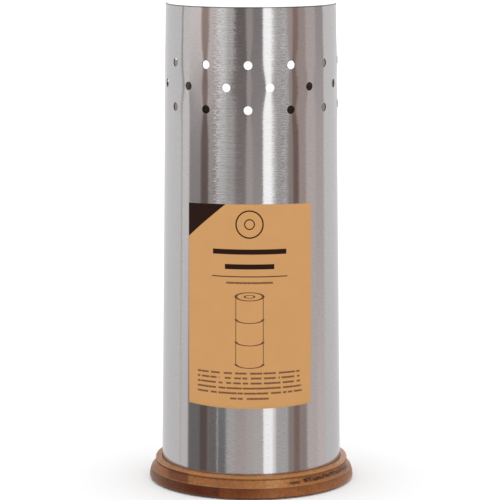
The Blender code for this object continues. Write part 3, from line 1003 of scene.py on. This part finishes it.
screw_low, screw_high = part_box("bracket_screw_back")
screw_seat = screw_high.z - SCREW_HEAD_HEIGHT
thread_foot = screw_low.z + SCREW_POINT
dome_foot = screw_seat + SCREW_HEAD_EDGE
dome = SCREW_HEAD_HEIGHT - SCREW_HEAD_EDGE
screw_profile = [
    (SCREW_CORE_RADIUS * 0.05, screw_low.z),
    (SCREW_CORE_RADIUS, thread_foot),
    (SCREW_CORE_RADIUS, screw_seat),
    (SCREW_HEAD_RADIUS - HEAD_CORNER, screw_seat),
    (SCREW_HEAD_RADIUS, screw_seat + HEAD_CORNER),
]
for out, up in rounding((0.0, 0.0), 1.0, 0, 90, DOME_STEPS)[:-1]:
    screw_profile.append((SCREW_HEAD_RADIUS * out, dome_foot + dome * up))
first_screw = turned("wood_screw", SCREW_STEPS, screw_profile)

thread_turns = int((screw_seat - SCREW_NECK - thread_foot) / THREAD_PITCH)
thread_depth = SCREW_CREST_RADIUS - SCREW_CORE_RADIUS
pick_nothing()
bpy.ops.mesh.primitive_circle_add(
    vertices=3,
    radius=thread_depth,
    location=(SCREW_CREST_RADIUS - thread_depth, 0.0, thread_foot),
    rotation=(math.pi / 2, math.pi / 2, 0.0),
)
thread = named("thread")
settle()
turns = {"screw_offset": THREAD_PITCH, "iterations": thread_turns, "use_smooth_shade": False}
work_with(thread, "SCREW", axis="Z", steps=THREAD_STEPS, render_steps=THREAD_STEPS, **turns)
open_edit()
pick_all("DESELECT")
bpy.ops.mesh.select_non_manifold()
bpy.ops.mesh.merge(type="COLLAPSE")
close_edit()
saw_out(first_screw, thread, "UNION")

for quarter in (0.0, math.pi / 2):
    pick_nothing()
    middle = (0.0, 0.0, screw_high.z + (OVERRUN - CROSS_DEPTH) / 2)
    bpy.ops.mesh.primitive_cube_add(size=1.0, location=middle)
    blade = bpy.context.object
    blade.scale = (CROSS_LENGTH, CROSS_WIDTH, OVERRUN + CROSS_DEPTH)
    blade.rotation_euler.z = quarter + CROSS_TURN
    settle()
    open_edit()
    pick_points(blade, lambda place: place.z < screw_high.z)
    resize((CROSS_NARROWS, CROSS_NARROWS, 1.0), (0.0, 0.0, screw_high.z))
    bpy.ops.object.mode_set(mode="OBJECT")
    saw_out(first_screw, blade)
place_at(first_screw, screw_place)
smooth(first_screw, SCREW_CREASE)
dress(first_screw, zinc)
keep_copies(first_screw, "wood_screw", "bracket_screw", BRACKET_TURNS)


# Paper label. A sheet of kraft paper glued round the back wall. Its print is plain: a dark corner, a
# roll seen from its end, ruled bars in place of words, and a stack of three rolls.
LABEL_WIDTH = 94.0 * MM
LABEL_HEIGHT = 145.1 * MM
LABEL_BOW_TOP = 1.1 * MM  # its corners are cut back by these
LABEL_BOW_FOOT = 1.35 * MM
LABEL_TURN = math.radians(1.0)
LABEL_LIFT = 0.12 * MM  # glue under the paper
LABEL_PAPER = 0.3 * MM
LABEL_EDGE = 0.06 * MM
LABEL_COLUMNS = 96
LABEL_ROWS = 64

label_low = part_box("paper_label")[0].z
label_high = label_low + LABEL_HEIGHT
label = flat_sheet(
    "kraft_label",
    LABEL_COLUMNS,
    evenly(label_low, label_high, LABEL_ROWS),
    lambda height: LABEL_WIDTH / 2 * spread(height),
    depth=-LABEL_LIFT - LABEL_PAPER,
)
sheet_metal(label, LABEL_PAPER, LABEL_EDGE, 1)


def near_corner(place, edge):
    """1 at the corners of the label's edge at a height, 0 in the edge's middle and away from it."""
    aside = min(1.0, (place.x / (LABEL_WIDTH / 2 * spread(place.z))) ** 2)
    return aside * (1 - abs(place.z - edge) / LABEL_HEIGHT) ** 8


press(label, lambda place: near_corner(place, label_low), "Z", LABEL_BOW_FOOT)
press(label, lambda place: near_corner(place, label_high), "Z", -LABEL_BOW_TOP)
roll_up(label)
place_at(label, turn=LABEL_TURN)
smooth(label, SHEET_CREASE)

PAPER = (0.58, 0.305, 0.118)
DARK_INK = (0.022, 0.005, 0.002, 1.0)
BROWN_INK = (0.11, 0.04, 0.022, 1.0)
INK_EDGE = 0.12 * MM

kraft, tree, shader = finish_named(
    "printed_kraft_paper", {"Roughness": 0.8, "Specular IOR Level": 0.15}
)
sheet = node(tree, "UVMap", uv_map="sheet").outputs[0]
sheet_x, sheet_y, _ = node(tree, "SeparateXYZ", {0: sheet}).outputs
label_x = sum_of(tree, "DIVIDE", sheet_x, spread((label_low + label_high) / 2))
label_y = sum_of(tree, "SUBTRACT", sheet_y, label_low)


def bar(tree, centre, half_size):
    """Where a printed bar lies on the label: 1 inside it, 0 outside."""
    past = []
    for place, middle, half in zip((label_x, label_y), centre, half_size):
        past.append(sum_of(tree, "SUBTRACT", gap_of(tree, place, middle), half))
    return range_of(tree, strongest(tree, *past), -INK_EDGE, INK_EDGE, 1.0, 0.0)


def ring(tree, centre, half_size, line, front_only=False):
    """Where a printed oval line lies on the label, or only its lower half."""
    aside = sum_of(tree, "DIVIDE", sum_of(tree, "SUBTRACT", label_x, centre[0]), half_size[0])
    above = sum_of(tree, "DIVIDE", sum_of(tree, "SUBTRACT", label_y, centre[1]), half_size[1])
    off_line = gap_of(tree, length_of(tree, aside, above), 1.0)
    share = line / half_size[1] / 2
    on_line = range_of(tree, off_line, share * 0.7, share * 1.3, 1.0, 0.0)
    if front_only:
        on_line = product(tree, on_line, sum_of(tree, "LESS_THAN", above, 0.0))
    return on_line


def lines(tree, rows, half_height):
    """Printed bars in the middle of the label, from their heights and half lengths in mm."""
    return [bar(tree, (0.0, row * MM), (half * MM, half_height)) for row, half in rows]


TITLES = ((111.6, 26.5), (101.1, 17.5))  # heights on the label and half lengths, in mm
TITLE_HALF = 1.8 * MM
RULE = ((94.1, 27.2),)
RULE_HALF = 0.4 * MM
SUBTITLE = ((89.7, 16.5),)
TEXT = ((25.3, 38.5), (21.8, 38.5), (18.2, 38.5), (14.6, 38.5), (11.0, 38.5), (7.2, 13.5))

# The text's marks rise and fall as letters do, and stop where words would end.
LETTER_WIDTH = 0.75 * MM
LINE_SPACING = 3.6 * MM
WORD_SCALE = 0.24
letter_scale = (1 / LETTER_WIDTH, 1 / LINE_SPACING, 1.0)
letter_place = node(tree, "Mapping", {"Vector": sheet, "Scale": letter_scale}).outputs[0]
row_sockets = {0: letter_place, 1: (0.0001, 1.0, 1.0)}
letter_row = node(tree, "VectorMath", row_sockets, operation="SNAP").outputs[0]
letters = noise(tree, letter_row, 1.0, 1.0)
words = range_of(tree, noise(tree, scaled(tree, letter_row, WORD_SCALE), 1.0, 0.0), 0.36, 0.38)
letter_half = range_of(tree, letters, 0.3, 0.7, 0.4 * MM, 0.95 * MM)
paragraph = product(tree, strongest(tree, *lines(tree, TEXT, letter_half)), words)
subtitle = lines(tree, SUBTITLE, letter_half)
text = product(tree, strongest(tree, paragraph, *subtitle), 0.85)

ROLL_HALF = 9.6 * MM
ROLL_TALL = 16.0 * MM
STACK_TOP = 80.0 * MM
OVAL = 2.9 * MM
CORE = 0.36  # the core's share of the roll
LINE = 0.55 * MM
rolls = [
    ring(tree, (0.0, STACK_TOP), (ROLL_HALF, OVAL), LINE),
    ring(tree, (0.0, STACK_TOP), (ROLL_HALF * CORE, OVAL * CORE), LINE * 0.7),
]
for number in (1, 2, 3):
    roll_foot = (0.0, STACK_TOP - ROLL_TALL * number)
    rolls.append(ring(tree, roll_foot, (ROLL_HALF, OVAL), LINE, front_only=True))
for side in (-1, 1):
    middle = (side * ROLL_HALF, STACK_TOP - ROLL_TALL * 1.5)
    rolls.append(bar(tree, middle, (LINE * 0.45, ROLL_TALL * 1.5)))
BADGE = (0.0, 131.0 * MM)
BADGE_RADIUS = 9.5 * MM
BADGE_LINE = 1.0 * MM
badge = [
    ring(tree, BADGE, (BADGE_RADIUS, BADGE_RADIUS), BADGE_LINE),
    ring(tree, BADGE, (BADGE_RADIUS * CORE, BADGE_RADIUS * CORE), BADGE_LINE * 0.8),
]
CORNER_WIDTH = 29.8 * MM
CORNER_HEIGHT = 24.0 * MM
from_left = sum_of(tree, "ADD", label_x, LABEL_WIDTH / 2)
from_top = sum_of(tree, "SUBTRACT", LABEL_HEIGHT, label_y)
down = product(tree, from_top, 1 / CORNER_HEIGHT)
slant = sum_of(tree, "MULTIPLY_ADD", from_left, 1 / CORNER_WIDTH, down)
corner = range_of(tree, slant, 0.993, 1.007, 1.0, 0.0)

pulp = noise(tree, sheet, 1400.0, 4.0, 0.7)
cloudy = noise(tree, sheet, 60.0, 2.0)
fine_tone = range_of(tree, pulp, 0.3, 0.7, -0.05, 0.05)
paper_tone = sum_of(tree, "ADD", fine_tone, range_of(tree, cloudy, 0.3, 0.7, 0.985, 1.015))
brown_print = strongest(tree, *lines(tree, RULE, RULE_HALF), *rolls, text)
dark_print = strongest(tree, corner, *lines(tree, TITLES, TITLE_HALF), *badge)
with_brown = blend_of(tree, brown_print, scaled(tree, PAPER, paper_tone), BROWN_INK)
paint(tree, shader, dark_print, with_brown, DARK_INK)
bump(tree, shader, pulp, 0.25, 0.03 * MM)
dress(label, kraft, kraft, kraft)
keep(label, "paper_label")


# Floor. A plain white studio floor that reaches past the picture's edges. The steel doesn't see it,
# but the even one in the room light.
FLOOR_SIDE = 60.0
pick_nothing()
bpy.ops.mesh.primitive_plane_add(size=FLOOR_SIDE)
floor = named("studio_floor")
floor_look = {"Roughness": 0.9, "Base Color": (0.92, 0.92, 0.92, 1.0), "Specular IOR Level": 0.0}
dress(floor, finish_named("studio_white", floor_look)[0])
floor.visible_glossy = False

# Light tent. A round white tent with softboxes, flags and a lamp behind its cloth, which only shiny
# surfaces see. Each panel has its azimuth from the camera's side, half width and edge softness in
# degrees, brightness low, half-way up and high on the tent, and the warmth of its light.
TENT_RADIUS = 700.0 * MM
TENT_LOW = -330.0 * MM
TENT_HIGH = 620.0 * MM
TENT_LEVELS = (-110.0 * MM, 195.0 * MM, 305.0 * MM)
TENT_CLOTH = (0.56, 0.47, 0.4)
CLOTH_WARMTH = 0.13
TENT_PANELS = (
    ("backdrop left", -143.0, 50.0, 3.0, (0.76, 0.8, 0.79), 0.0),
    ("backdrop behind", 176.0, 18.0, 8.0, (0.85, 1.3, 1.6), 0.0),
    ("softbox left", -90.0, 7.0, 2.0, (0.74, 0.84, 0.8), 0.06),
    ("seam left", -98.5, 1.2, 0.8, (0.62, 0.52, 0.3), 0.1),
    ("softbox left end", -73.5, 10.5, 3.0, (0.19, 0.33, 0.88), 0.12),
    ("flag left", -59.0, 6.0, 3.0, (0.11, 0.13, 0.36), 0.6),
    ("cloth left", -47.0, 6.5, 4.0, (0.18, 0.42, 0.74), 0.2),
    ("fill left", -35.0, 7.0, 3.0, (0.2, 0.68, 0.92), 0.03),
    ("slit left", -40.2, 0.4, 0.3, (0.8, 1.2, 1.1), 0.0),
    ("cloth beside camera", -24.0, 5.0, 5.0, (0.55, 0.47, 0.62), 0.06),
    ("dark behind camera", -11.5, 7.0, 4.0, (0.51, 0.25, 0.17), 0.25),
    ("cloth right of camera", 10.5, 6.5, 4.0, (0.6, 0.38, 0.27), 0.13),
    ("lamp cover", 28.0, 5.0, 2.0, (0.98, 0.94, 0.88), 0.02),
    ("narrow lamp", 22.75, 5.85, 0.6, (1.38, 1.5, 1.5), 0.0),
    ("fill right", 41.0, 8.5, 3.0, (0.56, 0.49, 0.6), 0.05),
    ("slit right", 46.4, 0.4, 0.3, (0.56, 1.1, 0.9), 0.0),
    ("cloth right", 53.5, 5.0, 3.0, (0.32, 0.32, 0.46), 0.3),
    ("flag right", 61.0, 4.5, 3.0, (0.21, 0.15, 0.26), 0.8),
    ("cloth far right", 71.0, 6.0, 4.0, (0.32, 0.42, 0.4), 0.4),
    ("fill far right", 85.0, 9.0, 4.0, (0.62, 0.62, 0.56), 0.2),
    ("cloth at the side", 102.0, 8.5, 5.0, (0.7, 0.54, 0.42), 0.2),
    ("backdrop right", 135.0, 25.5, 4.0, (0.74, 0.8, 0.8), 0.02),
)

TENT_STEPS = 128
pick_nothing()
bpy.ops.mesh.primitive_cylinder_add(
    vertices=TENT_STEPS,
    radius=TENT_RADIUS,
    depth=TENT_HIGH - TENT_LOW,
    end_fill_type="NOTHING",
    location=(0.0, 0.0, (TENT_LOW + TENT_HIGH) / 2),
)
tent = named("light_tent")
settle()
cloth, tree, shader = finish_named("tent_cloth", {})
tree.nodes.remove(shader)
x, y, z = node(tree, "SeparateXYZ", {0: node(tree, "TexCoord").outputs["Object"]}).outputs
azimuth = sum_of(tree, "DEGREES", sum_of(tree, "ARCTAN2", x, product(tree, y, -1.0)))
up_to_middle = range_of(tree, z, TENT_LEVELS[0], TENT_LEVELS[1], kind="SMOOTHSTEP")
up_to_top = range_of(tree, z, TENT_LEVELS[1], TENT_LEVELS[2], kind="SMOOTHSTEP")


def level(tree, brightness):
    """Brightness of a panel at a height on the tent."""
    low, middle, high = brightness
    part = sum_of(tree, "MULTIPLY_ADD", up_to_middle, middle - low, low)
    return sum_of(tree, "MULTIPLY_ADD", up_to_top, high - middle, part)


glow = level(tree, TENT_CLOTH)
warmth = CLOTH_WARMTH
for panel, centre, half, soft, brightness, warm in TENT_PANELS:
    there = near(tree, azimuth, centre, half, soft)
    brighter = sum_of(tree, "SUBTRACT", level(tree, brightness), glow)
    glow = sum_of(tree, "MULTIPLY_ADD", there, brighter, glow)
    warmer = sum_of(tree, "SUBTRACT", warm, warmth)
    warmth = sum_of(tree, "MULTIPLY_ADD", there, warmer, warmth)
cloth_colour = blend_of(tree, warmth, (1.0, 1.0, 1.01, 1.0), (1.45, 0.93, 0.78, 1.0))
light = node(tree, "Emission", {"Color": cloth_colour, "Strength": glow})
plug(tree, tree.nodes["Material Output"].inputs["Surface"], light.outputs[0])
dress(tent, cloth)
for kind in ("camera", "diffuse", "shadow", "transmission"):
    setattr(tent, f"visible_{kind}", False)

# Room light. Even white light from all round, strongest from above, as in a white studio. The steel
# sees it dimmed, with a floor below it and a bright patch overhead.
HORIZON = 0.62
ZENITH = 1.55
SEEN_IN_STEEL = 0.15
FLOOR_IN_STEEL = 0.62
OVERHEAD_IN_STEEL = 0.95
OVERHEAD = (0.82, 0.95)  # how steeply a ray climbs at the patch's edge
WHITE = (1.0, 1.0, 1.0, 1.0)
world = bpy.data.worlds.new("studio")
bpy.context.scene.world = world
world.use_nodes = True
tree = world.node_tree
rays = node(tree, "LightPath").outputs
in_steel = rays["Is Glossy Ray"]
climb = node(tree, "SeparateXYZ", {0: node(tree, "TexCoord").outputs["Generated"]}).outputs[2]
dimmed = sum_of(tree, "MULTIPLY_ADD", in_steel, SEEN_IN_STEEL - 1.0, 1.0)
room = product(tree, range_of(tree, climb, 0.0, 1.0, HORIZON, ZENITH), dimmed)
below = product(tree, sum_of(tree, "LESS_THAN", climb, 0.0), FLOOR_IN_STEEL, in_steel)
patch = range_of(tree, climb, *OVERHEAD, 0.0, OVERHEAD_IN_STEEL, "SMOOTHSTEP")
sky = tree.nodes["Background"]
sky.inputs["Color"].default_value = WHITE
plug(tree, sky.inputs["Strength"], strongest(tree, room, below, product(tree, patch, in_steel)))
backdrop = node(tree, "Background", {"Color": WHITE, "Strength": 1.0})
views = {0: rays["Is Camera Ray"], 1: sky.outputs[0], 2: backdrop.outputs[0]}
plug(tree, tree.nodes["World Output"].inputs["Surface"], node(tree, "MixShader", views).outputs[0])
bpy.context.scene.view_settings.view_transform = "Standard"
